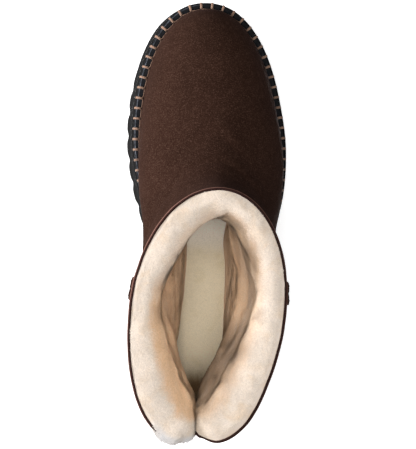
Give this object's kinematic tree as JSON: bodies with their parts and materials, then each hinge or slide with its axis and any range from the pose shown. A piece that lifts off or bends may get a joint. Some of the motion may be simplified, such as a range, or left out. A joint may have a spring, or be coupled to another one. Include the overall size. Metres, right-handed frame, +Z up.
{
  "type": "sheepskin boot",
  "caption": "Low pull-on sheepskin boot for the right foot, with a pile-lined collar, a stitched band round the upper and a lugged platform sole.",
  "frame": {"origin": "middle of the bounding box, on the ground under the sole", "axes": "+Z up, +Y towards the toe, +X towards the outer side of the foot"},
  "size_m": [0.1068, 0.2772, 0.1735],
  "materials": {
    "rubber": "matte moulded rubber",
    "band": "smooth satin rubber with tan stitching",
    "suede": "napped dark brown suede, cream pile inside",
    "fleece": "dense short pile"
  },
  "bodies": {
    "root": {"outsole": "rubber", "welt_band": "band", "upper": "suede", "seam_strip_outer": "suede", "seam_strip_inner": "suede", "insole": "fleece"}
  },
  "joints": []
}
